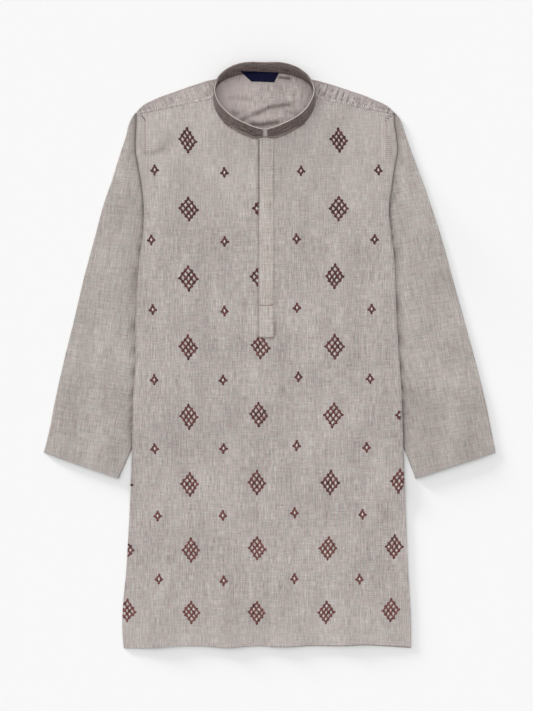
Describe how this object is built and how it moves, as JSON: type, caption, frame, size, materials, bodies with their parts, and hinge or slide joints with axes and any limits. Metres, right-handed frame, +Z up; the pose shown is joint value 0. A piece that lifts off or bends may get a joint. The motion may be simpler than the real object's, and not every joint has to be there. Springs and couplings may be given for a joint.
{
  "type": "kurta tunic",
  "caption": "Child's long-sleeved knee-length tunic laid flat, with a stand collar, front placket and folded yoke.",
  "frame": {"origin": "on the surface the garment lies on, in the middle of its overall width and length", "axes": "+Z up off the surface, through the layers of cloth; +Y from the hem to the collar; +X to the right seen from above, the wearer's left"},
  "size_m": [0.601, 0.7801, 0.0339],
  "materials": {
    "body_cloth": "slubby plain-weave cotton, pale grey-beige",
    "yoke_cloth": "the same plain weave, with its grain turned",
    "sleeve_cloth": "the same plain weave",
    "collar_cloth": "darker brown-grey stiffened weave",
    "placket_cloth": "slightly paler plain weave",
    "label_cloth": "navy satin ribbon, bare"
  },
  "bodies": {
    "root": {"back_panel": "body_cloth", "front_panel": "body_cloth", "yoke": "yoke_cloth", "sleeve_left": "sleeve_cloth", "sleeve_right": "sleeve_cloth", "collar_band": "collar_cloth", "front_placket": "placket_cloth", "neck_label": "label_cloth"}
  },
  "joints": []
}
